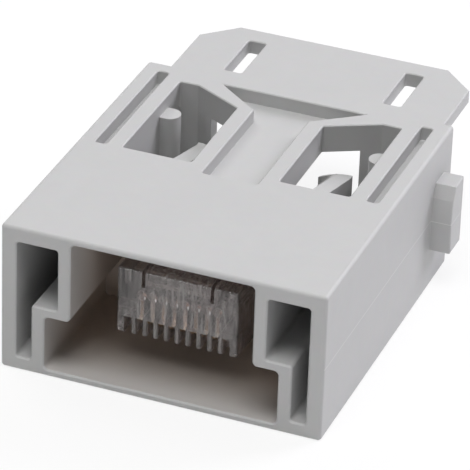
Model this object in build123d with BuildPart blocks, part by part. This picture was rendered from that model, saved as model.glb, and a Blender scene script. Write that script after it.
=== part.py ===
import os

from build123d import *

# Module body: mating face towards -Y, windowed deck up, tongue to the rear
body_width = 30.1
body_length = 33.5
body_height = 14.45
body_round = 0.35
mating_rim = 0.15
deck_rim = 0.1
side_wall = 1.45
moulding_skin = 1.35

# Tongue for two cable ties, flush with the deck behind the body
tongue_length = 10.0
tongue_left_inset = 2.28
tongue_right_inset = 0.9
tongue_corner = 3.05
tongue_round = 0.15
tie_slot_width = 1.75
tie_slot_length = 6.55
tie_slot_setback = 1.25
tie_slot_spacing = 15.7

# Guide lugs on the left and right sides; the left one is lower, so the module fits one way round
lug_reach = 1.95
lug_length = 3.1
lug_setback = 28.05
lug_draft = 0.25
lug_slope_width = 0.85
lug_slope_height = 1.25
lug_round = 0.15
lug_rise = 0.18
right_lug_height = 6.7
left_lug_height = 4.4

# Mating cavity: a wide slot below and a narrower one above, as the mating jack needs
cavity_depth = 14.0
cavity_round = 0.45
upper_web = 1.19
lower_web = 1.235
cavity_floor = 0.7
cavity_step = 6.0
cavity_roof = 0.6

# L-shaped core-outs each side of the mating cavity
pocket_depth = 13.0
pocket_round = 0.3
pocket_width = 3.91
pocket_leg_width = 1.44
pocket_bottom = 1.35
pocket_step = 6.9
pocket_roof = 1.5

# Deck over the rear half, with one window each side of a central strip
deck_thickness = 2.7
window_front = 17.1
window_rear = 30.9
window_inner = 4.2
window_side_strip = 1.55
window_slant_start = 9.0
window_slant_end = 28.3
window_round = 0.25

# Shallow reliefs that even out the wall: two long slots, a central one and one behind the windows
side_slot_width = 1.11
side_slot_wall = 1.54
side_slot_front = 17.0
side_slot_rear = 32.0
centre_relief_width = 5.22
centre_relief_front = 15.7
centre_relief_rear = 28.6
rear_relief_front = 29.5
rear_relief_rear = 32.0
rear_relief_front_width = 7.3
rear_relief_rear_width = 13.9
relief_round = 0.3

# Chamber under the deck, open at the rear through a flared mouth
floor_thickness = 1.4
rear_mouth_width = 14.6
rear_mouth_flare = 2.0
rib_reach = 1.65
rib_width = 2.1
rib_front = 25.9

# Plug: an eight-way modular plug with its contacts down and its latch up
plug_width = 11.68
plug_length = 21.46
plug_height = 6.6
plug_setback = 3.9
plug_level = 3.8
plug_round = 0.25
plug_fit = 0.1
nose_width = 11.36
nose_taper_length = 4.0
rear_slope_length = 2.2
rear_slope_fall = 1.1

# Trough that carries the plug, with two end plates behind it
trough_wall = 1.6
trough_rear = 27.5
trough_front_drop = 1.45
trough_rear_drop = 0.1
end_plate = 2.0
end_plate_rise = 0.05
cable_gap = 8.62
cable_gap_fall = 0.82
lead_in = 1.6
lead_in_lip = 0.2
seat_core_width = 9.0
seat_core_inset = 1.4
seat_skin = 1.5

# Contact rows of the plug
contact_count = 8
contact_pitch = 1.016
blade_thickness = 0.32
blade_fit = 0.03
blade_length = 6.0
blade_height = 3.8
blade_front = 1.2
blade_recess = 0.45
blade_corner = 0.5
tine_count = 3
tine_width = 1.05
tine_height = 0.9
slot_mouth_width = 0.54
slot_mouth_height = 1.7
tooth_bevel = 0.12
wire_channel_radius = 0.47
wire_channel_level = 3.85
wire_channel_front = 1.0
corner_notch_depth = 1.6
corner_wall = 0.84

# Hollow of the plug, lower towards the nose, and its strain relief pocket
cable_bore_width = 9.0
cable_bore_height = 4.2
cable_bore_level = 0.9
cable_bore_depth = 8.3
cable_bore_round = 0.6
comb_bore_height = 3.75
comb_bore_depth = 13.2
crimp_pocket_width = 6.4
crimp_pocket_length = 2.6
crimp_pocket_place = 16.2
crimp_pocket_depth = 0.6

# Latch: wide shoulders at the front, a narrow lever behind, on a living hinge at the nose
latch_width = 6.1
lever_width = 3.25
latch_hinge = 1.2
shoulder_end = 8.36
lever_end = 14.2
latch_thickness = 0.95
lever_tip_level = 6.85
latch_root_level = 5.35
latch_space = 0.35
latch_well_end = 12.6
lever_slot_fit = 0.45

# Comb that spaces the wires inside the plug
guide_length = 4.0
guide_front = 8.6
guide_fit = 0.05
guide_bore_radius = 0.42

half_width = body_width / 2
front = -(body_length + tongue_length) / 2
rear = front + body_length
tongue_end = rear + tongue_length
deck_under = body_height - deck_thickness
relief_floor = body_height - moulding_skin
pocket_outer = half_width - side_wall
upper_cavity_width = 2 * (pocket_outer - pocket_width - upper_web)
lower_cavity_width = 2 * (pocket_outer - pocket_leg_width - lower_web)
side_slot_centre = half_width - side_slot_wall - side_slot_width / 2
window_outer = side_slot_centre - side_slot_width / 2 - window_side_strip
plug_front = front + plug_setback
plug_rear = plug_front + plug_length
plug_top = plug_level + plug_height
trough_inner = plug_width / 2 + plug_fit
trough_outer = trough_inner + trough_wall
trough_front_height = body_height - trough_front_drop
trough_rear_height = plug_top - trough_rear_drop
end_plate_height = plug_top + end_plate_rise


def facing(y):
    """Plane across the module at y, drawn in X and Z; a negative extrusion runs towards the rear."""
    return Plane.XZ.offset(-y)


def window_outline(inner):
    """Corners of the right window in plan, from its inner edge out and round to the slanted rear."""
    slope = (window_rear - window_slant_end) / (window_slant_start - window_inner)
    inner_rear = window_slant_end + slope * (inner - window_inner)
    return [
        (inner, front + window_front),
        (window_outer, front + window_front),
        (window_outer, front + window_rear),
        (window_slant_start, front + window_rear),
        (inner, front + inner_rear),
    ]


# Cable-tie tongue, a flat plate with its two rear corners cut off
tongue_left = -half_width + tongue_left_inset
tongue_right = half_width - tongue_right_inset
tongue_root = rear - moulding_skin
with BuildPart() as tongue:
    with BuildSketch(Plane.XY.offset(relief_floor)):
        with BuildLine():
            Polyline(
                (tongue_left, tongue_root),
                (tongue_right, tongue_root),
                (tongue_right, tongue_end - tongue_corner),
                (tongue_right - tongue_corner, tongue_end),
                (tongue_left + tongue_corner, tongue_end),
                (tongue_left, tongue_end - tongue_corner),
                close=True,
            )
        make_face()
    extrude(amount=moulding_skin)
    root_edges, *rim_edges = tongue.edges().filter_by(Axis.Z, reverse=True).group_by(Axis.Y)
    fillet([edge for group in rim_edges for edge in group], tongue_round)
    with BuildSketch(Plane.XY.offset(body_height)):
        with Locations(((tongue_left + tongue_right) / 2, rear + tie_slot_setback + tie_slot_length / 2)):
            with GridLocations(tie_slot_spacing, 0, 2, 1):
                RectangleRounded(tie_slot_width, tie_slot_length, relief_round)
    extrude(amount=-moulding_skin, mode=Mode.SUBTRACT)


def make_lug(side, height):
    """Guide lug: drafted both ways from its mid-height parting line, with a sloped upper front."""
    low = (body_height - height) / 2 + lug_rise
    high = low + height
    lug_front = front + lug_setback
    with BuildPart() as lug:
        with BuildSketch(Plane.YZ.offset(side * (half_width - side_wall))):
            with BuildLine():
                Polyline(
                    (lug_front + lug_slope_width, high),
                    (lug_front + lug_draft, high - lug_slope_height),
                    (lug_front, body_height / 2),
                    (lug_front + lug_draft, low),
                    (lug_front + lug_length, low),
                    (lug_front + lug_length, high),
                    close=True,
                )
            make_face()
        extrude(amount=side * (side_wall + lug_reach))
        outer_face = lug.faces().sort_by(Axis.X)[-1 if side > 0 else 0]
        fillet(outer_face.edges(), lug_round)
    return lug.part


# Housing, the one moulded block that everything seats in
with BuildPart() as housing:
    with BuildSketch():
        with Locations((0, (front + rear) / 2)):
            Rectangle(body_width, body_length)
    extrude(amount=body_height)
    fillet(housing.edges(), body_round)
    add(tongue.part)
    add(make_lug(1, right_lug_height))
    add(make_lug(-1, left_lug_height))

    # Chamber under the deck and its mouth at the rear
    with BuildSketch(Plane.XY.offset(floor_thickness)):
        for side in (-1, 1):
            with BuildLine():
                Polyline(*[(side * x, y) for x, y in window_outline(0)], close=True)
            make_face()
    extrude(amount=deck_under - floor_thickness, mode=Mode.SUBTRACT)
    with BuildSketch(Plane.XY.offset(floor_thickness)):
        with BuildLine():
            Polyline(
                (-rear_mouth_width / 2, plug_rear),
                (rear_mouth_width / 2, plug_rear),
                (rear_mouth_width / 2, rear - rear_mouth_flare),
                (rear_mouth_width / 2 + rear_mouth_flare, rear),
                (-rear_mouth_width / 2 - rear_mouth_flare, rear),
                (-rear_mouth_width / 2, rear - rear_mouth_flare),
                close=True,
            )
        make_face()
    extrude(amount=deck_under - floor_thickness, mode=Mode.SUBTRACT)

    # Windows through the deck
    with BuildSketch(Plane.XY.offset(body_height)) as windows:
        for side in (-1, 1):
            with BuildLine():
                Polyline(*[(side * x, y) for x, y in window_outline(window_inner)], close=True)
            make_face()
        fillet(windows.vertices(), window_round)
    extrude(amount=-deck_thickness, mode=Mode.SUBTRACT)

    # Plug trough: a raised floor, two side walls that fall towards the rear, and two end plates
    with BuildSketch(Plane.XY.offset(floor_thickness)):
        with Locations((0, front + (window_front + trough_rear) / 2)):
            Rectangle(2 * trough_outer, trough_rear - window_front)
    extrude(amount=plug_level - floor_thickness)
    for side in (-1, 1):
        with BuildSketch(Plane.YZ.offset(side * trough_inner)):
            with BuildLine():
                Polyline(
                    (front + window_front, plug_level),
                    (front + trough_rear, plug_level),
                    (front + trough_rear, trough_rear_height),
                    (front + window_front, trough_front_height),
                    close=True,
                )
            make_face()
        extrude(amount=side * trough_wall)
        with BuildSketch(facing(front + trough_rear)):
            with BuildLine():
                inner_top = (side * cable_gap / 2, end_plate_height - cable_gap_fall)
                outer_top = (side * trough_outer, end_plate_height)
                Polyline(
                    inner_top,
                    (side * cable_gap / 2, plug_level),
                    (side * trough_outer, plug_level),
                    outer_top,
                )
                TangentArc(outer_top, inner_top, tangent=(-side, 0))
            make_face()
        extrude(amount=end_plate)
        with BuildSketch(facing(front + trough_rear - lead_in_lip)):
            with BuildLine():
                Polyline(
                    (side * cable_gap / 2, end_plate_height - lead_in),
                    (side * cable_gap / 2, end_plate_height),
                    (side * (cable_gap / 2 + lead_in), end_plate_height),
                    close=True,
                )
            make_face()
        extrude(amount=end_plate - lead_in_lip, mode=Mode.SUBTRACT)

    # Half-round ribs on the outer walls of the chamber
    with BuildSketch(Plane.XY.offset(floor_thickness)):
        rib_centre = front + rib_front + rib_width / 2
        for side in (-1, 1):
            with Locations((side * (window_outer - (rib_reach - rib_width / 2) / 2), rib_centre)):
                Rectangle(rib_reach - rib_width / 2, rib_width)
            with Locations((side * (window_outer - rib_reach + rib_width / 2), rib_centre)):
                Circle(rib_width / 2)
    extrude(amount=relief_floor - floor_thickness)

    # Mating cavity
    with BuildSketch(facing(front)) as cavity:
        with Locations((0, (cavity_floor + cavity_step) / 2)):
            Rectangle(lower_cavity_width, cavity_step - cavity_floor)
        with Locations((0, (cavity_floor + body_height - cavity_roof) / 2)):
            Rectangle(upper_cavity_width, body_height - cavity_roof - cavity_floor)
        fillet(cavity.vertices(), cavity_round)
    extrude(amount=-cavity_depth, mode=Mode.SUBTRACT)

    # Core-outs beside it
    with BuildSketch(facing(front)) as pockets:
        for side in (-1, 1):
            with BuildLine():
                Polyline(
                    (side * pocket_outer, pocket_bottom),
                    (side * (pocket_outer - pocket_leg_width), pocket_bottom),
                    (side * (pocket_outer - pocket_leg_width), pocket_step),
                    (side * (pocket_outer - pocket_width), pocket_step),
                    (side * (pocket_outer - pocket_width), body_height - pocket_roof),
                    (side * pocket_outer, body_height - pocket_roof),
                    close=True,
                )
            make_face()
        fillet(pockets.vertices(), pocket_round)
    extrude(amount=-pocket_depth, mode=Mode.SUBTRACT)

    # Passage from the cavity into the trough, with a slot above it for the latch lever
    lever_slot_width = lever_width + 2 * lever_slot_fit
    with BuildSketch(facing(front + cavity_depth)):
        with Locations((0, plug_level + (plug_height + plug_fit) / 2)):
            Rectangle(2 * trough_inner, plug_height + plug_fit)
        with Locations((0, (plug_level + deck_under) / 2)):
            Rectangle(lever_slot_width, deck_under - plug_level)
    extrude(amount=-(window_front - cavity_depth), mode=Mode.SUBTRACT)

    # Reliefs in the deck and the same long slots, cut deeper, from below
    with BuildSketch(Plane.XY.offset(body_height)) as reliefs:
        with Locations((0, front + (centre_relief_front + centre_relief_rear) / 2)):
            Rectangle(centre_relief_width, centre_relief_rear - centre_relief_front)
        with BuildLine():
            Polyline(
                (-rear_relief_front_width / 2, front + rear_relief_front),
                (rear_relief_front_width / 2, front + rear_relief_front),
                (rear_relief_rear_width / 2, front + rear_relief_rear),
                (-rear_relief_rear_width / 2, front + rear_relief_rear),
                close=True,
            )
        make_face()
        fillet(reliefs.vertices().group_by(Axis.Y)[:-1], relief_round)
    extrude(amount=-moulding_skin, mode=Mode.SUBTRACT)
    side_slot_length = side_slot_rear - side_slot_front
    with BuildSketch(Plane.XY):
        with Locations((0, front + (side_slot_front + side_slot_rear) / 2)):
            with GridLocations(2 * side_slot_centre, 0, 2, 1):
                RectangleRounded(side_slot_width, side_slot_length, relief_round)
    extrude(amount=relief_floor - moulding_skin, mode=Mode.SUBTRACT)
    with BuildSketch(Plane.XY.offset(body_height)):
        with Locations((0, front + (side_slot_front + side_slot_rear) / 2)):
            with GridLocations(2 * side_slot_centre, 0, 2, 1):
                RectangleRounded(side_slot_width, side_slot_length, relief_round)
    extrude(amount=-moulding_skin, mode=Mode.SUBTRACT)

    # Core-out below the plug seat
    seat_core_length = trough_rear - window_front - 2 * seat_core_inset
    with BuildSketch(Plane.XY):
        with Locations((0, front + (window_front + trough_rear) / 2)):
            RectangleRounded(seat_core_width, seat_core_length, relief_round)
    extrude(amount=plug_level - seat_skin, mode=Mode.SUBTRACT)

    # Broken edges round the openings of the mating face and the deck
    chamfer(housing.faces().sort_by(Axis.Y)[0].inner_wires().edges(), mating_rim)
    deck = housing.faces().filter_by(Axis.Z).sort_by(Axis.Z)[-1]
    chamfer(deck.inner_wires().edges(), deck_rim)

housing.part.label = "housing"


def contact_places():
    """Offsets of the contacts from the centre line."""
    return [contact_pitch * (place - (contact_count - 1) / 2) for place in range(contact_count)]


# Plug body with its latch, one clear moulding: the nose tapers in plan and the top falls at the rear
channel_level = plug_level + wire_channel_level
blade_rear = blade_front + blade_length
with BuildPart() as plug_body:
    with BuildSketch(Plane.XY.offset(plug_level)):
        with BuildLine():
            Polyline(
                (-nose_width / 2, plug_front),
                (nose_width / 2, plug_front),
                (plug_width / 2, plug_front + nose_taper_length),
                (plug_width / 2, plug_rear),
                (-plug_width / 2, plug_rear),
                (-plug_width / 2, plug_front + nose_taper_length),
                close=True,
            )
        make_face()
    extrude(amount=plug_height)
    with BuildSketch(Plane.YZ.offset(-plug_width / 2)):
        with BuildLine():
            Polyline(
                (plug_rear - rear_slope_length, plug_top),
                (plug_rear, plug_top - rear_slope_fall),
                (plug_rear, plug_top),
                close=True,
            )
        make_face()
    extrude(amount=plug_width, mode=Mode.SUBTRACT)
    taper_edges = plug_body.edges().filter_by(Axis.Z).group_by(Axis.Y)[1]
    fillet(plug_body.edges() - taper_edges, plug_round)

    # Well under the latch, with two slits through the nose that free the hinge
    latch_well_width = latch_width + 2 * latch_space
    well_floor = plug_level + latch_root_level - latch_space
    with BuildSketch(Plane.XY.offset(well_floor)):
        with Locations((0, plug_front + (latch_hinge + latch_well_end) / 2)):
            Rectangle(latch_well_width, latch_well_end - latch_hinge)
        with Locations((0, plug_front + latch_hinge / 2)):
            with GridLocations(latch_width + latch_space, 0, 2, 1):
                Rectangle(latch_space, latch_hinge)
    extrude(amount=plug_top - well_floor, mode=Mode.SUBTRACT)

    # Latch lever, wide at the shoulders
    for width, end in ((latch_width, shoulder_end), (lever_width, lever_end)):
        rise = (lever_tip_level - latch_root_level) / (lever_end - latch_hinge)
        end_level = plug_level + latch_root_level + rise * (end - latch_hinge)
        with BuildSketch(Plane.YZ.offset(-width / 2)):
            with BuildLine():
                Polyline(
                    (plug_front + latch_hinge / 2, plug_level + latch_root_level),
                    (plug_front + latch_hinge, plug_level + latch_root_level),
                    (plug_front + end, end_level),
                    (plug_front + end, end_level + latch_thickness),
                    (plug_front + latch_hinge / 2, plug_top),
                    close=True,
                )
            make_face()
        extrude(amount=width)

    # Hollow for the cable, a lower one for the comb, then one channel for each wire
    for height, depth in ((cable_bore_height, cable_bore_depth), (comb_bore_height, comb_bore_depth)):
        with BuildSketch(facing(plug_rear)):
            with Locations((0, plug_level + cable_bore_level + height / 2)):
                RectangleRounded(cable_bore_width, height, cable_bore_round)
        extrude(amount=depth, mode=Mode.SUBTRACT)
    channel_end = plug_rear - comb_bore_depth
    with BuildSketch(facing(plug_front + wire_channel_front)):
        with Locations(*[(x, channel_level) for x in contact_places()]):
            Circle(wire_channel_radius)
    extrude(amount=-(channel_end - plug_front - wire_channel_front), mode=Mode.SUBTRACT)

    # Contact slots, open below and through the lower part of the nose, with bevelled teeth between
    slot_width = blade_thickness + 2 * blade_fit
    with BuildSketch(Plane.XY.offset(plug_level)):
        with Locations(*[(x, plug_front + (blade_rear + blade_fit) / 2) for x in contact_places()]):
            Rectangle(slot_mouth_width, blade_rear + blade_fit)
    extrude(amount=slot_mouth_height, mode=Mode.SUBTRACT)
    with BuildSketch(Plane.XY.offset(plug_level)):
        with Locations(*[(x, plug_front + (blade_front + blade_rear) / 2) for x in contact_places()]):
            Rectangle(slot_width, blade_length + 2 * blade_fit)
    extrude(amount=wire_channel_level, mode=Mode.SUBTRACT)

    # Notches inside the two corner walls of the nose
    notch_inner = contact_pitch * (contact_count + 1) / 2 - slot_mouth_width / 2
    notch_outer = plug_width / 2 - corner_wall
    with BuildSketch(Plane.XY.offset(plug_level)):
        with Locations((0, plug_front + corner_notch_depth / 2)):
            with GridLocations(notch_inner + notch_outer, 0, 2, 1):
                Rectangle(notch_outer - notch_inner, corner_notch_depth)
    extrude(amount=slot_mouth_height, mode=Mode.SUBTRACT)
    lowest_edges = plug_body.edges().filter_by(Axis.Y).group_by(Axis.Z)[0]
    chamfer(lowest_edges.filter_by_position(Axis.X, -notch_inner, notch_inner), tooth_bevel)

    # Crimp pocket over the cable
    with BuildSketch(Plane.XY.offset(plug_level)):
        with Locations((0, plug_front + crimp_pocket_place)):
            Rectangle(crimp_pocket_width, crimp_pocket_length)
    extrude(amount=crimp_pocket_depth, mode=Mode.SUBTRACT)

plug_body.part.label = "plug_body"


def make_contact(x):
    """Contact blade: a stamped plate with piercing tines above and a rounded front corner below."""
    low = plug_level + blade_recess
    high = low + blade_height - tine_height
    start = plug_front + blade_front
    tine_pitch = blade_length / tine_count
    with BuildPart() as contact:
        with BuildSketch(Plane.YZ.offset(x - blade_thickness / 2)) as plate:
            with Locations((start + blade_length / 2, (low + high) / 2)):
                Rectangle(blade_length, high - low)
            fillet(plate.vertices().group_by(Axis.Y)[0].sort_by(Axis.X)[0], blade_corner)
            for place in range(tine_count):
                middle = start + tine_pitch * (2 * place + 1) / 2
                with BuildLine():
                    Polyline(
                        (middle - tine_width / 2, high),
                        (middle + tine_width / 2, high),
                        (middle, high + tine_height),
                        close=True,
                    )
                make_face()
        extrude(amount=blade_thickness)
    return contact.part


# Comb with one bore for each wire
with BuildPart() as wire_guide:
    guide_width = cable_bore_width - 2 * guide_fit
    guide_height = comb_bore_height - 2 * guide_fit
    with BuildSketch(facing(plug_front + guide_front)):
        with Locations((0, plug_level + cable_bore_level + comb_bore_height / 2)):
            RectangleRounded(guide_width, guide_height, cable_bore_round)
        with Locations(*[(x, channel_level) for x in contact_places()]):
            Circle(guide_bore_radius, mode=Mode.SUBTRACT)
    extrude(amount=-guide_length)

wire_guide.part.label = "wire_guide"

os.makedirs("parts", exist_ok=True)
export_step(housing.part, "parts/housing.step")
export_step(plug_body.part, "parts/plug_body.step")
export_step(wire_guide.part, "parts/wire_guide.step")
for number, x in enumerate(contact_places(), 1):
    contact = make_contact(x)
    contact.label = f"contact_{number}"
    export_step(contact, f"parts/contact_{number}.step")
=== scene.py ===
import math

import bmesh
import bpy
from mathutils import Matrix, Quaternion, Vector


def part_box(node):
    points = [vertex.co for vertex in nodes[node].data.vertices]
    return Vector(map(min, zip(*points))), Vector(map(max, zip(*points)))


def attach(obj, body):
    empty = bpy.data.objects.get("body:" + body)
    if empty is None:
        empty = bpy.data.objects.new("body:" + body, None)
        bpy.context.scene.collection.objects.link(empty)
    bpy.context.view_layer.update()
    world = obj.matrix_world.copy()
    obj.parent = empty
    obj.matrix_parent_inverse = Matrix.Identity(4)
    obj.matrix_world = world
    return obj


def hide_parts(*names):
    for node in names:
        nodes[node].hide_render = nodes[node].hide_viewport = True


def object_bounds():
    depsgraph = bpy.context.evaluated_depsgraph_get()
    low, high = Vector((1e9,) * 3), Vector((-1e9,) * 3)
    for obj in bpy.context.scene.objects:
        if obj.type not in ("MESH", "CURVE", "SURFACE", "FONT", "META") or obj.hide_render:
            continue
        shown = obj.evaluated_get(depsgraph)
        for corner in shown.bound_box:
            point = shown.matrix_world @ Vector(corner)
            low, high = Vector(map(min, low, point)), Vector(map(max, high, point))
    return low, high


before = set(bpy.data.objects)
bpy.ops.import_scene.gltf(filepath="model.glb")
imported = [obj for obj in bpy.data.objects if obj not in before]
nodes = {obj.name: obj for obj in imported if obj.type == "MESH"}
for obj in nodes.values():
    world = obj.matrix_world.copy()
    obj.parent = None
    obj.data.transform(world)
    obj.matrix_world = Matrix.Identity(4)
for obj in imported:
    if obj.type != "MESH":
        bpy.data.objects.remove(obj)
cad_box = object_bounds()


# Camera: a long lens that looks down on the front from a little to the right, as in the
# photograph. Its distance, focal length and roll come from the body's corners as they show there.
mm = 0.001
scene = bpy.context.scene


def direction(azimuth, elevation):
    """Unit vector away from the object, in degrees round from its front and above the floor."""
    around, above = math.radians(azimuth), math.radians(elevation)
    return Vector((
        math.sin(around) * math.cos(above),
        -math.cos(around) * math.cos(above),
        math.sin(above),
    ))


def new_object(name, data):
    """Puts a mesh, camera or light in the scene as an object."""
    made = bpy.data.objects.new(name, data)
    scene.collection.objects.link(made)
    return made


camera_aim = Vector((-0.245, -3.42, 7.2)) * mm
camera_distance, nearest_seen = 350.1 * mm, 10 * mm
camera_roll = math.radians(2.13)
focal_length_in_mm = 298
to_camera = direction(azimuth=20.31, elevation=30.16)

camera = new_object("camera", bpy.data.cameras.new("camera"))
camera.location = camera_aim + to_camera * camera_distance
camera.rotation_mode = "QUATERNION"
camera.rotation_quaternion = to_camera.to_track_quat("Z", "Y") @ Quaternion((0, 0, 1), camera_roll)
camera.data.lens = focal_length_in_mm
camera.data.clip_start = nearest_seen
scene.camera = camera


# Housing: one injection moulding in light grey polycarbonate from a spark-eroded tool, dull and
# finely grained, with faint flow marks and the tool's parting line on its side walls and lugs.
# The recess in its deck is a channel between the windows that runs into a funnel behind them.
deck_level = cad_box[1].z
channel_half_width, funnel_half_width = 2.61 * mm, 6.95 * mm
channel_front, channel_rear, funnel_rear = -6.05 * mm, 6.85 * mm, 10.25 * mm
recess_depth, corner_radius, rim_chamfer = 1.35 * mm, 0.3 * mm, 0.1 * mm
welded_gap = 0.0005 * mm
sharp_from = math.radians(17)


def mesh_of(shape, name):
    """Makes a named mesh of a bmesh and frees it."""
    mesh = bpy.data.meshes.new(name)
    shape.to_mesh(mesh)
    shape.free()
    return mesh


# The CAD solid keeps a bar of deck between channel and funnel. The cutter goes this much further
# than their walls and floor, so that it takes the bar away and no two faces lie in one plane.
overcut = 0.02 * mm
cut = bmesh.new()
recess_floor = cut.faces.new([
    cut.verts.new((x, y, deck_level - recess_depth - overcut))
    for x, y in (
        (-channel_half_width, channel_front), (channel_half_width, channel_front),
        (channel_half_width, channel_rear), (funnel_half_width, funnel_rear),
        (-funnel_half_width, funnel_rear), (-channel_half_width, channel_rear),
    )
])
raised = bmesh.ops.extrude_face_region(cut, geom=[recess_floor], use_keep_orig=True)["geom"]
bmesh.ops.translate(
    cut, vec=(0, 0, recess_depth + overcut - rim_chamfer),
    verts=[item for item in raised if isinstance(item, bmesh.types.BMVert)],
)
bmesh.ops.recalc_face_normals(cut, faces=cut.faces)

# The upright corners at the front are rounded, and then the walls move out
front_corners = [
    edge for edge in cut.edges
    if all(abs(vert.co.y - channel_front) < overcut for vert in edge.verts)
    and abs(edge.verts[0].co.x - edge.verts[1].co.x) < overcut
]
bmesh.ops.bevel(
    cut, geom=front_corners, offset=corner_radius, segments=5, profile=0.5,
    affect="EDGES", material=-1,
)
walls = [face for face in cut.faces if abs(face.normal.z) < 0.5]
for vert in cut.verts:
    outward = sum((face.normal for face in vert.link_faces if face in walls), Vector())
    vert.co += overcut * outward

# The rim's chamfer goes on above the deck, up to twice its size, so that the deck cuts it off
lid = max(cut.faces, key=lambda face: face.calc_center_median().z)
bmesh.ops.inset_region(
    cut, faces=[lid], thickness=-2 * rim_chamfer, depth=2 * rim_chamfer, use_even_offset=True,
)
cutter = new_object("recess_cutter", mesh_of(cut, "recess_cutter"))

shell = bmesh.new()
shell.from_mesh(nodes["housing"].data)
bmesh.ops.remove_doubles(shell, verts=shell.verts, dist=welded_gap)
housing = new_object("housing_moulding", mesh_of(shell, "uncut_housing"))
recess = housing.modifiers.new("recess", "BOOLEAN")
recess.operation = "DIFFERENCE"
recess.solver = "EXACT"
recess.object = cutter
cut_housing = housing.evaluated_get(bpy.context.evaluated_depsgraph_get())
housing.data = bpy.data.meshes.new_from_object(cut_housing)
housing.modifiers.clear()
bpy.data.objects.remove(cutter)

# Flat faces stay flat and rounded corners are shaded round
shell = bmesh.new()
shell.from_mesh(housing.data)
for face in shell.faces:
    face.smooth = True
for edge in shell.edges:
    edge.smooth = edge.is_manifold and edge.calc_face_angle() < sharp_from
shell.to_mesh(housing.data)
shell.free()
even_faces = housing.modifiers.new("even_faces", "WEIGHTED_NORMAL")
even_faces.keep_sharp = True
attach(housing, "root")
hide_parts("housing")


def linear(hex_code):
    """Linear colour of an sRGB hex code."""
    parts = [int(hex_code[i:i + 2], 16) / 255 for i in (1, 3, 5)]
    return (*[c / 12.92 if c <= 0.04045 else ((c + 0.055) / 1.055) ** 2.4 for c in parts], 1)


def set_inputs(tree, node, **inputs):
    """Sets a node's inputs by name, or by number as i6, to a value or the socket that feeds it."""
    for name, value in inputs.items():
        socket = node.inputs[int(name[1:]) if name[1:].isdigit() else name.replace("_", " ")]
        if isinstance(value, bpy.types.NodeSocket):
            tree.links.new(value, socket)
        else:
            socket.default_value = value


def add_node(tree, kind, settings=None, **inputs):
    """Adds a shader node with its settings and inputs."""
    made = tree.nodes.new(kind)
    for name, value in (settings or {}).items():
        setattr(made, name, value)
    set_inputs(tree, made, **inputs)
    return made


def new_material(name):
    """Empty node material, with its tree, its shader and its Object coordinates."""
    material = bpy.data.materials.new(name)
    material.use_nodes = True
    tree = material.node_tree
    place = tree.nodes.new("ShaderNodeTexCoord").outputs["Object"]
    return material, tree, tree.nodes["Principled BSDF"], place


def moulded_edges(tree, radius, samples, sharpest, most):
    """Normal that rounds the edges, and a share that rises to most where they turn sharpest.

    How far the rounding turns the normal is told by its cosine, from barely to sharpest.
    """
    barely = 0.98
    rounded = add_node(tree, "ShaderNodeBevel", {"samples": samples}, Radius=radius)
    flat = add_node(tree, "ShaderNodeNewGeometry")
    alike = add_node(
        tree, "ShaderNodeVectorMath", {"operation": "DOT_PRODUCT"},
        i0=rounded.outputs[0], i1=flat.outputs["Normal"],
    )
    share = add_node(
        tree, "ShaderNodeMapRange",
        Value=alike.outputs["Value"], From_Min=barely, From_Max=sharpest, To_Max=most,
    )
    return rounded.outputs[0], share.outputs[0]


# Flow marks and mottling in the plastic. Real grain of an eroded tool is about 0.03 mm across,
# and it is drawn at 0.12 mm to show.
housing_plastic, tree, shader, place = new_material("pebble_grey_polycarbonate")
flow_size, mottle_size, grain_size = 5 * mm, 0.9 * mm, 0.12 * mm
mottle_strength = 0.03
flow = add_node(
    tree, "ShaderNodeTexNoise", Vector=place, Scale=1 / flow_size, Detail=3.0, Distortion=0.8,
)
mottle = add_node(tree, "ShaderNodeTexNoise", Vector=place, Scale=1 / mottle_size, Detail=4.0)
grain = add_node(tree, "ShaderNodeTexNoise", Vector=place, Scale=1 / grain_size, Detail=2.0)
flowed = add_node(
    tree, "ShaderNodeMix", {"data_type": "RGBA"},
    Factor=flow.outputs["Fac"], i6=linear("#b7b7b7"), i7=linear("#bcbcbb"),
)
mottled = add_node(
    tree, "ShaderNodeMix", {"data_type": "RGBA", "blend_type": "OVERLAY"},
    Factor=mottle_strength, i6=flowed.outputs[2], i7=mottle.outputs["Color"],
)

# Painted warm bounce light: a warm tint painted on the walls of the mating cavity stands in for
# light thrown by the clear plug and its gold contacts, more so further in. The cavity is wider
# below its step.
cavity_front, cavity_rear, cavity_top = cad_box[0].y + 0.15 * mm, -7.7 * mm, 13.9 * mm
cavity_step, upper_half_width, lower_half_width = 6.45 * mm, 9.1 * mm, 11.5 * mm
bounce_depth, bounce_at_front = 8 * mm, 0.25
axes = add_node(tree, "ShaderNodeSeparateXYZ", Vector=place)
from_middle = add_node(tree, "ShaderNodeMath", {"operation": "ABSOLUTE"}, i0=axes.outputs["X"])
above_step = add_node(
    tree, "ShaderNodeMath", {"operation": "GREATER_THAN"}, i0=axes.outputs["Z"], i1=cavity_step,
)
half_width = add_node(
    tree, "ShaderNodeMapRange",
    Value=above_step.outputs[0], To_Min=lower_half_width, To_Max=upper_half_width,
)
painted_bounce = add_node(
    tree, "ShaderNodeMapRange", {"interpolation_type": "SMOOTHSTEP"},
    Value=axes.outputs["Y"], From_Min=cavity_front, From_Max=cavity_front + bounce_depth,
    To_Min=bounce_at_front,
)
for measure, comparison, limit in (
    (from_middle.outputs[0], "LESS_THAN", half_width.outputs[0]),
    (axes.outputs["Y"], "LESS_THAN", cavity_rear),
    (axes.outputs["Y"], "GREATER_THAN", cavity_front),
    (axes.outputs["Z"], "LESS_THAN", cavity_top),
):
    within = add_node(tree, "ShaderNodeMath", {"operation": comparison}, i0=measure, i1=limit)
    painted_bounce = add_node(
        tree, "ShaderNodeMath", {"operation": "MULTIPLY"},
        i0=painted_bounce.outputs[0], i1=within.outputs[0],
    )
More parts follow.
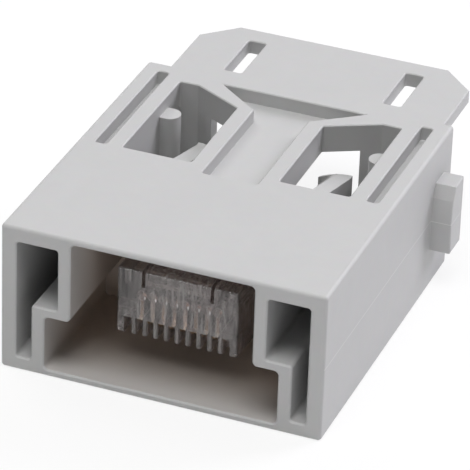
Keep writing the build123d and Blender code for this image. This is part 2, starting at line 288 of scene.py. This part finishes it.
# The painted bounce light is mixed into the plastic's colour here
bounce_tinted = add_node(
    tree, "ShaderNodeMix", {"data_type": "RGBA"},
    Factor=painted_bounce.outputs[0], i6=mottled.outputs[2], i7=linear("#c9bcb1"),
)

# Parting line of the two tool halves, a fine ridge along the side walls and round the lugs, with
# a painted highlight along it for the light the ridge catches. It is drawn about twice as wide as
# a real one, to show.
parting_level, parting_half_width, side_walls_from = 7.2 * mm, 0.07 * mm, 14.99 * mm
above_line = add_node(
    tree, "ShaderNodeMath", {"operation": "SUBTRACT"}, i0=axes.outputs["Z"], i1=parting_level,
)
off_line = add_node(tree, "ShaderNodeMath", {"operation": "ABSOLUTE"}, i0=above_line.outputs[0])
ridge = add_node(
    tree, "ShaderNodeMapRange", {"interpolation_type": "SMOOTHSTEP"},
    Value=off_line.outputs[0], From_Max=parting_half_width, To_Min=1.0, To_Max=0.0,
)
on_side = add_node(
    tree, "ShaderNodeMath", {"operation": "GREATER_THAN"},
    i0=from_middle.outputs[0], i1=side_walls_from,
)
parting = add_node(
    tree, "ShaderNodeMath", {"operation": "MULTIPLY"}, i0=ridge.outputs[0], i1=on_side.outputs[0],
)
# Painted highlight: the ridge gets a lighter tone for the light it catches
parting_highlighted = add_node(
    tree, "ShaderNodeMix", {"data_type": "RGBA"},
    Factor=parting.outputs[0], i6=bounce_tinted.outputs[2], i7=linear("#d2d2d0"),
)

# Edges are rounded by the moulding, and a little smoother where they are handled. Their lighter
# tone is a painted highlight, for the rounded edges catching light.
edge_radius, grain_depth, parting_height = 0.09 * mm, 0.01 * mm, 0.03 * mm
least_rough, most_rough, handled_rough = 0.44, 0.6, 0.34
edge_normal, edge = moulded_edges(tree, edge_radius, samples=6, sharpest=0.75, most=1.0)
# Painted highlight: edges are mixed towards a lighter tone
edge_highlight_tone = add_node(
    tree, "ShaderNodeMix", {"data_type": "RGBA"},
    Factor=edge, i6=parting_highlighted.outputs[2], i7=linear("#cbcac8"),
)
grain_gloss = add_node(
    tree, "ShaderNodeMapRange", Value=grain.outputs["Fac"], To_Min=least_rough, To_Max=most_rough,
)
gloss = add_node(tree, "ShaderNodeMix", Factor=edge, i2=grain_gloss.outputs[0], i3=handled_rough)
grain_bump = add_node(
    tree, "ShaderNodeBump",
    Height=grain.outputs["Fac"], Strength=0.25, Distance=grain_depth, Normal=edge_normal,
)
parting_bump = add_node(
    tree, "ShaderNodeBump", Height=parting.outputs[0], Strength=0.6, Distance=parting_height,
    Normal=grain_bump.outputs[0],
)
set_inputs(
    tree, shader, Base_Color=edge_highlight_tone.outputs[2], Roughness=gloss.outputs[0],
    Normal=parting_bump.outputs[0], IOR=1.58,
)
housing.data.materials.clear()
housing.data.materials.append(housing_plastic)


# Plug body: clear polycarbonate from a polished tool, with the latch on its living hinge. The
# melt ran up between thin walls, which left fine upright streaks and clouds in cool and warm
# grey, so the middle is less clear than the sides.
clear_plastic, tree, shader, place = new_material("clear_polycarbonate")
streak_width, streak_height, cloud_size = 0.32 * mm, 2.2 * mm, 1.3 * mm
streak_strength = 0.35
upright = add_node(
    tree, "ShaderNodeMapping", Vector=place,
    Scale=(1 / streak_width, 1 / streak_width, 1 / streak_height),
)
streaks = add_node(tree, "ShaderNodeTexNoise", Vector=upright.outputs[0], Scale=1.0, Detail=3.0)
clouds = add_node(tree, "ShaderNodeTexNoise", Vector=place, Scale=1 / cloud_size, Detail=3.0)
tinted = add_node(
    tree, "ShaderNodeMix", {"data_type": "RGBA"},
    Factor=clouds.outputs["Fac"], i6=linear("#cfd1cb"), i7=linear("#d9c6c7"),
)
streaked = add_node(
    tree, "ShaderNodeMix", {"data_type": "RGBA", "blend_type": "OVERLAY"},
    Factor=streak_strength, i6=tinted.outputs[2], i7=streaks.outputs["Fac"],
)
gloss = add_node(
    tree, "ShaderNodeMapRange",
    Value=clouds.outputs["Fac"], From_Min=0.3, From_Max=0.7, To_Min=0.03, To_Max=0.1,
)

# How much light goes through, less where a streak is dense and more towards the sides
middle_half_width, sides_from, sides_gain = 3.6 * mm, 5.2 * mm, 0.13
axes = add_node(tree, "ShaderNodeSeparateXYZ", Vector=place)
from_middle = add_node(tree, "ShaderNodeMath", {"operation": "ABSOLUTE"}, i0=axes.outputs["X"])
between_streaks = add_node(
    tree, "ShaderNodeMapRange",
    Value=streaks.outputs["Fac"], From_Min=0.32, From_Max=0.68, To_Min=0.88, To_Max=0.6,
)
at_sides = add_node(
    tree, "ShaderNodeMapRange",
    Value=from_middle.outputs[0], From_Min=middle_half_width, From_Max=sides_from,
    To_Max=sides_gain,
)
clearness = add_node(
    tree, "ShaderNodeMath", {"operation": "ADD"},
    i0=between_streaks.outputs[0], i1=at_sides.outputs[0],
)

# Painted glints: white strokes painted on the thin walls between the wire channels, for light
# caught there
glint_level, glint_half_width, glint_half_height = 7.8 * mm, 0.13 * mm, 0.32 * mm
glint_reach, glint_depth = 3.5 * mm, 0.1 * mm
nose_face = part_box("plug_body")[0].y
contact_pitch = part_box("contact_2")[0].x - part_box("contact_1")[0].x
off_wall = add_node(
    tree, "ShaderNodeMath", {"operation": "PINGPONG"}, i0=axes.outputs["X"], i1=contact_pitch / 2,
)
above_level = add_node(
    tree, "ShaderNodeMath", {"operation": "SUBTRACT"}, i0=axes.outputs["Z"], i1=glint_level,
)
off_level = add_node(tree, "ShaderNodeMath", {"operation": "ABSOLUTE"}, i0=above_level.outputs[0])
shares = [
    add_node(
        tree, "ShaderNodeMapRange", {"interpolation_type": "SMOOTHSTEP"},
        Value=measure.outputs[0], From_Max=reach, To_Min=1.0, To_Max=0.0,
    )
    for measure, reach in ((off_wall, glint_half_width), (off_level, glint_half_height))
] + [
    add_node(tree, "ShaderNodeMath", {"operation": "LESS_THAN"}, i0=measure, i1=limit)
    for measure, limit in (
        (from_middle.outputs[0], glint_reach), (axes.outputs["Y"], nose_face + glint_depth),
    )
]
# The painted glints vary with the clouds and fade out at the ends of each stroke
painted_glints = add_node(
    tree, "ShaderNodeMapRange",
    Value=clouds.outputs["Fac"], From_Min=0.35, From_Max=0.6, To_Min=0.5,
)
for share in shares:
    painted_glints = add_node(
        tree, "ShaderNodeMath", {"operation": "MULTIPLY"},
        i0=painted_glints.outputs[0], i1=share.outputs[0],
    )

# Rounded edges gather light, so they get a painted highlight, paler and less clear, as the painted
# glints are
edge_radius, ripple_depth, clearness_of_pale = 0.1 * mm, 0.04 * mm, 0.1
edge_normal, edge = moulded_edges(tree, edge_radius, samples=4, sharpest=0.72, most=0.55)
pale = add_node(
    tree, "ShaderNodeMath", {"operation": "MAXIMUM"}, i0=edge, i1=painted_glints.outputs[0],
)
# The painted edge highlight and the painted glints are mixed into the colour here
paled = add_node(
    tree, "ShaderNodeMix", {"data_type": "RGBA"},
    Factor=pale.outputs[0], i6=streaked.outputs[2], i7=linear("#f7f6f8"),
)
clouded = add_node(
    tree, "ShaderNodeMix",
    Factor=pale.outputs[0], i2=clearness.outputs[0], i3=clearness_of_pale,
)
ripple = add_node(
    tree, "ShaderNodeBump",
    Height=streaks.outputs["Fac"], Strength=0.4, Distance=ripple_depth, Normal=edge_normal,
)
set_inputs(
    tree, shader, Base_Color=paled.outputs[2], Transmission_Weight=clouded.outputs[0],
    Roughness=gloss.outputs[0], Normal=ripple.outputs[0], IOR=1.58,
)


def finish_with(node_name, material):
    """Gives a CAD node one material in all its slots."""
    for slot in nodes[node_name].material_slots:
        slot.link = "OBJECT"
        slot.material = material


finish_with("plug_body", clear_plastic)


# Wire comb: a loose moulding in the same clear plastic, slid over the wires before the plug is
# crimped. It is a little milky and less glossy, because its tool isn't polished.
comb_plastic, tree, shader, place = new_material("milky_polycarbonate")
haze_size, haze_depth = 0.6 * mm, 0.03 * mm
haze = add_node(tree, "ShaderNodeTexNoise", Vector=place, Scale=1 / haze_size, Detail=4.0)
hazy = add_node(
    tree, "ShaderNodeMix", {"data_type": "RGBA"},
    Factor=haze.outputs["Fac"], i6=linear("#d3d8dc"), i7=linear("#e4e4e2"),
)
clearness = add_node(
    tree, "ShaderNodeMapRange", Value=haze.outputs["Fac"], To_Min=0.9, To_Max=0.65,
)
gloss = add_node(
    tree, "ShaderNodeMapRange", Value=haze.outputs["Fac"], To_Min=0.18, To_Max=0.36,
)
haze_bump = add_node(
    tree, "ShaderNodeBump", Height=haze.outputs["Fac"], Strength=0.3, Distance=haze_depth,
)
set_inputs(
    tree, shader, Base_Color=hazy.outputs[2], Transmission_Weight=clearness.outputs[0],
    Roughness=gloss.outputs[0], Normal=haze_bump.outputs[0], IOR=1.58,
)
finish_with("wire_guide", comb_plastic)


# Contacts: stamped from phosphor bronze strip and plated with gold over nickel. The plating is
# thinner and redder towards the tines. Rolling leaves fine lines along the strip, which are drawn
# a few times wider than real ones, to show.
contact_gold, tree, shader, place = new_material("gold_plating")
rolled_width, rolled_length, rolled_depth = 0.03 * mm, 0.8 * mm, 0.005 * mm
plating_thins_from, plating_thin_at = 5.2 * mm, 7.4 * mm
lengthways = add_node(
    tree, "ShaderNodeMapping", Vector=place,
    Scale=(1 / rolled_width, 1 / rolled_length, 1 / rolled_width),
)
rolled = add_node(tree, "ShaderNodeTexNoise", Vector=lengthways.outputs[0], Scale=1.0, Detail=2.0)
axes = add_node(tree, "ShaderNodeSeparateXYZ", Vector=place)
thinned = add_node(
    tree, "ShaderNodeMapRange",
    Value=axes.outputs["Z"], From_Min=plating_thins_from, From_Max=plating_thin_at,
)
plated = add_node(
    tree, "ShaderNodeMix", {"data_type": "RGBA"},
    Factor=thinned.outputs[0], i6=linear("#bf9f66"), i7=linear("#8f7468"),
)
gloss = add_node(
    tree, "ShaderNodeMapRange", Value=rolled.outputs["Fac"], To_Min=0.2, To_Max=0.38,
)
rolled_bump = add_node(
    tree, "ShaderNodeBump", Height=rolled.outputs["Fac"], Strength=0.3, Distance=rolled_depth,
)
set_inputs(
    tree, shader, Base_Color=plated.outputs[2], Roughness=gloss.outputs[0],
    Normal=rolled_bump.outputs[0], Metallic=1.0,
)
for name in nodes:
    if name.startswith("contact_"):
        finish_with(name, contact_gold)


# Floor and light: a white table in a white product studio. Softboxes hang above the front, above
# the right and behind on both sides, and a small one in front makes the glints. The camera sees
# table and studio as white, also in metal and through clear plastic, with a faint shadow.
table_half_width, table_glow = 1.5, 0.8
lamp_distance, softbox_size, glint_size = 0.7, 0.3, 0.08
dim_studio, white_studio = 0.005, 1.0


def seen_directly(tree):
    """Socket that is 1 for what the camera sees, also in metal and through clear plastic."""
    rays = tree.nodes.new("ShaderNodeLightPath").outputs
    reflected = add_node(
        tree, "ShaderNodeMath", {"operation": "MAXIMUM"},
        i0=rays["Is Glossy Ray"], i1=rays["Is Transmission Ray"],
    )
    seen = add_node(
        tree, "ShaderNodeMath", {"operation": "MAXIMUM"},
        i0=rays["Is Camera Ray"], i1=reflected.outputs[0],
    )
    return seen.outputs[0]


sheet = bmesh.new()
bmesh.ops.create_grid(sheet, x_segments=1, y_segments=1, size=table_half_width)
table = new_object("floor", mesh_of(sheet, "floor"))

white_table, tree, shader, _ = new_material("white_table")
set_inputs(tree, shader, Base_Color=linear("#f8f8f8"), Roughness=0.9)
white_share = add_node(
    tree, "ShaderNodeMath", {"operation": "MULTIPLY"}, i0=seen_directly(tree), i1=table_glow,
)
glow = add_node(tree, "ShaderNodeEmission", Strength=1.0)
mixed = add_node(
    tree, "ShaderNodeMixShader",
    i0=white_share.outputs[0], i1=shader.outputs[0], i2=glow.outputs[0],
)
set_inputs(tree, tree.nodes["Material Output"], Surface=mixed.outputs[0])
table.data.materials.append(white_table)

# Name, degrees round from the front and above the table, width in metres, watts and tint
for name, azimuth, elevation, width, power, tint in (
    ("overhead_front", 0, 72, softbox_size, 2.05, "#ffffff"),
    ("overhead_right", 60, 72, softbox_size, 1.3, "#ffffff"),
    ("rear_left", -120, 55, softbox_size, 1.05, "#ffffff"),
    ("rear_right", 140, 35, softbox_size, 2.85, "#f8f6ff"),
    ("front_glint", -20, 26, glint_size, 0.25, "#ffffff"),
):
    towards = direction(azimuth, elevation)
    lamp = new_object(name, bpy.data.lights.new(name, "AREA"))
    lamp.data.size = width
    lamp.data.energy = power
    lamp.data.color = linear(tint)[:3]
    lamp.location = towards * lamp_distance
    lamp.rotation_euler = towards.to_track_quat("Z", "Y").to_euler()

# Rays that only light the object get next to nothing from the studio, as the lamps do that
scene.world = bpy.data.worlds.new("studio")
scene.world.use_nodes = True
studio = scene.world.node_tree
strength = add_node(
    studio, "ShaderNodeMapRange",
    Value=seen_directly(studio), To_Min=dim_studio, To_Max=white_studio,
)
set_inputs(
    studio, studio.nodes["Background"], Color=linear("#ffffff"), Strength=strength.outputs[0],
)
scene.view_settings.view_transform = "Standard"
